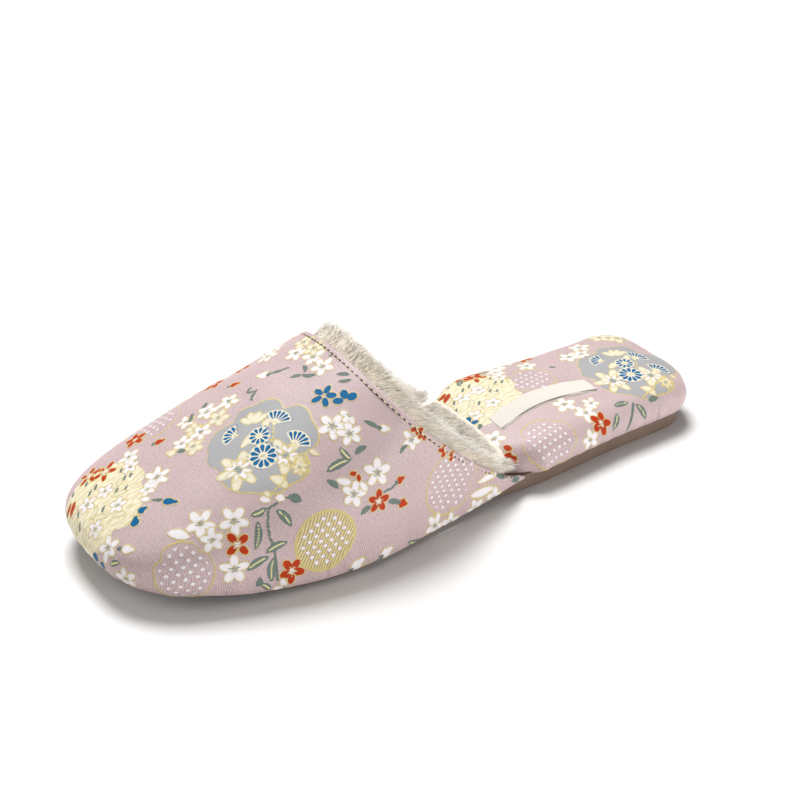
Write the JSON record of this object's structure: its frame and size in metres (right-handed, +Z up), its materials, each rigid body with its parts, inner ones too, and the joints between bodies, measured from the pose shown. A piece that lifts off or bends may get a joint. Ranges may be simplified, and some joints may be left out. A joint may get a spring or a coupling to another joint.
{
  "type": "slipper",
  "caption": "Left closed-toe house slipper: padded heel cushion, thin low-heeled rubber sole, hollow brocade vamp open at the back, with a plush-lined collar.",
  "frame": {"origin": "centre of the slipper's plan, on the floor under the sole", "axes": "+Y from the heel to the toe, +X to the wearer's right (the inner side of this left foot), +Z up"},
  "size_m": [0.0924, 0.2498, 0.0658],
  "materials": {
    "sole_rubber": "matte taupe brown, finely moulded",
    "cushion_fabric": "pale pink satin brocade over a soft pad",
    "brocade": "dusty pink satin twill with woven flowers and pale gold outlines",
    "plush": "short cream plush pile",
    "woven_label": "plain cream woven tape"
  },
  "bodies": {
    "root": {"outsole": "sole_rubber", "footbed": "cushion_fabric", "upper": "brocade", "fur_cuff": "plush", "label": "woven_label"}
  },
  "joints": []
}
